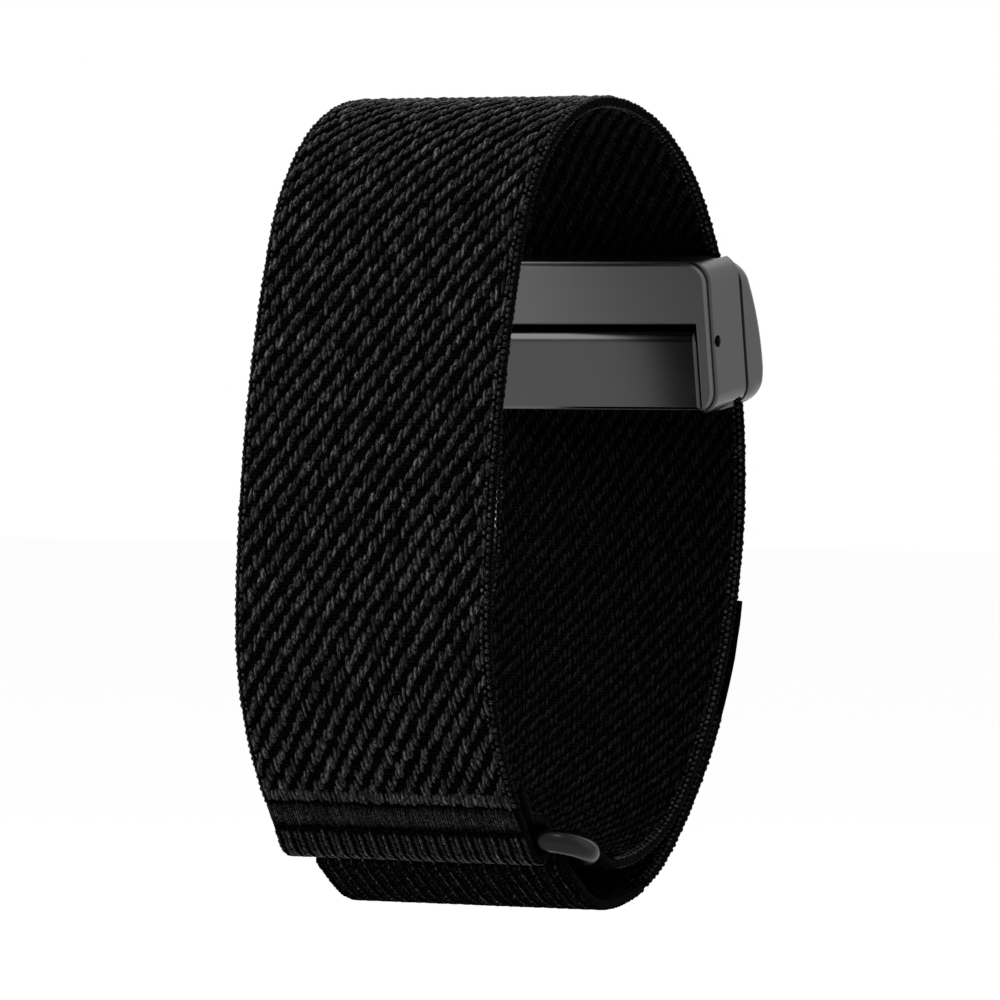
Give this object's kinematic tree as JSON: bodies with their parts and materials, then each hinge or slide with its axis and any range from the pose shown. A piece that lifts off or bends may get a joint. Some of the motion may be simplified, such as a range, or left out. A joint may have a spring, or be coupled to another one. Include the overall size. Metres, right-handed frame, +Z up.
{
  "type": "elastic watch strap",
  "caption": "Black woven elastic watch strap: a closed loop joined by a slide-out hook ring, with a sliding cam-lock clasp and a fold-back tail held by hook tape.",
  "frame": {"origin": "middle of the wrist opening, at half the height of the loop and half the width of the band", "axes": "+X across the band, along the wrist, towards the hook ring's loop; +Y from the front panel to the clasp; +Z up, from the ring to the top of the loop"},
  "size_m": [0.0283, 0.0431, 0.0662],
  "materials": {
    "textile": "black twill elastic webbing with a slight sheen",
    "stitching_thread": "black filament thread, satin",
    "hook_nylon": "black moulded nylon hooks",
    "satin_gunmetal": "dark gunmetal plating, satin",
    "polished_ring": "dark nickel plating, polished",
    "bare_steel": "ground steel"
  },
  "bodies": {
    "band": {"elastic_band": "textile", "seam_stitching": "stitching_thread"},
    "tail": {"band_tail": "textile", "hook_tape": "hook_nylon"},
    "ring": {"hook_ring": "polished_ring"},
    "clasp": {"clasp_body": "satin_gunmetal", "face_plate": "satin_gunmetal", "clasp_cover": "satin_gunmetal", "cover_dowels": "bare_steel", "lever_pin": "bare_steel"},
    "lever": {"lock_lever": "satin_gunmetal"}
  },
  "joints": [
    {"name": "tail_peel", "type": "hinge", "parent": "band", "child": "tail", "pos_m": [0, -0.00752, -0.03008], "axis": [-1, 0, 0], "range_deg": [0, 70]},
    {"name": "ring_slide", "type": "slide", "parent": "band", "child": "ring", "axis": [1, 0, 0], "range_m": [0, 0.026]},
    {"name": "clasp_slide", "type": "hinge", "parent": "band", "child": "clasp", "pos_m": [0, -0.01941, 0.002], "axis": [1, 0, 0], "range_deg": [-20, 5]},
    {"name": "lever_flip", "type": "hinge", "parent": "clasp", "child": "lever", "pos_m": [0, 0.01449, 0.0131], "axis": [-1, 0, 0], "range_deg": [0, 100]}
  ]
}
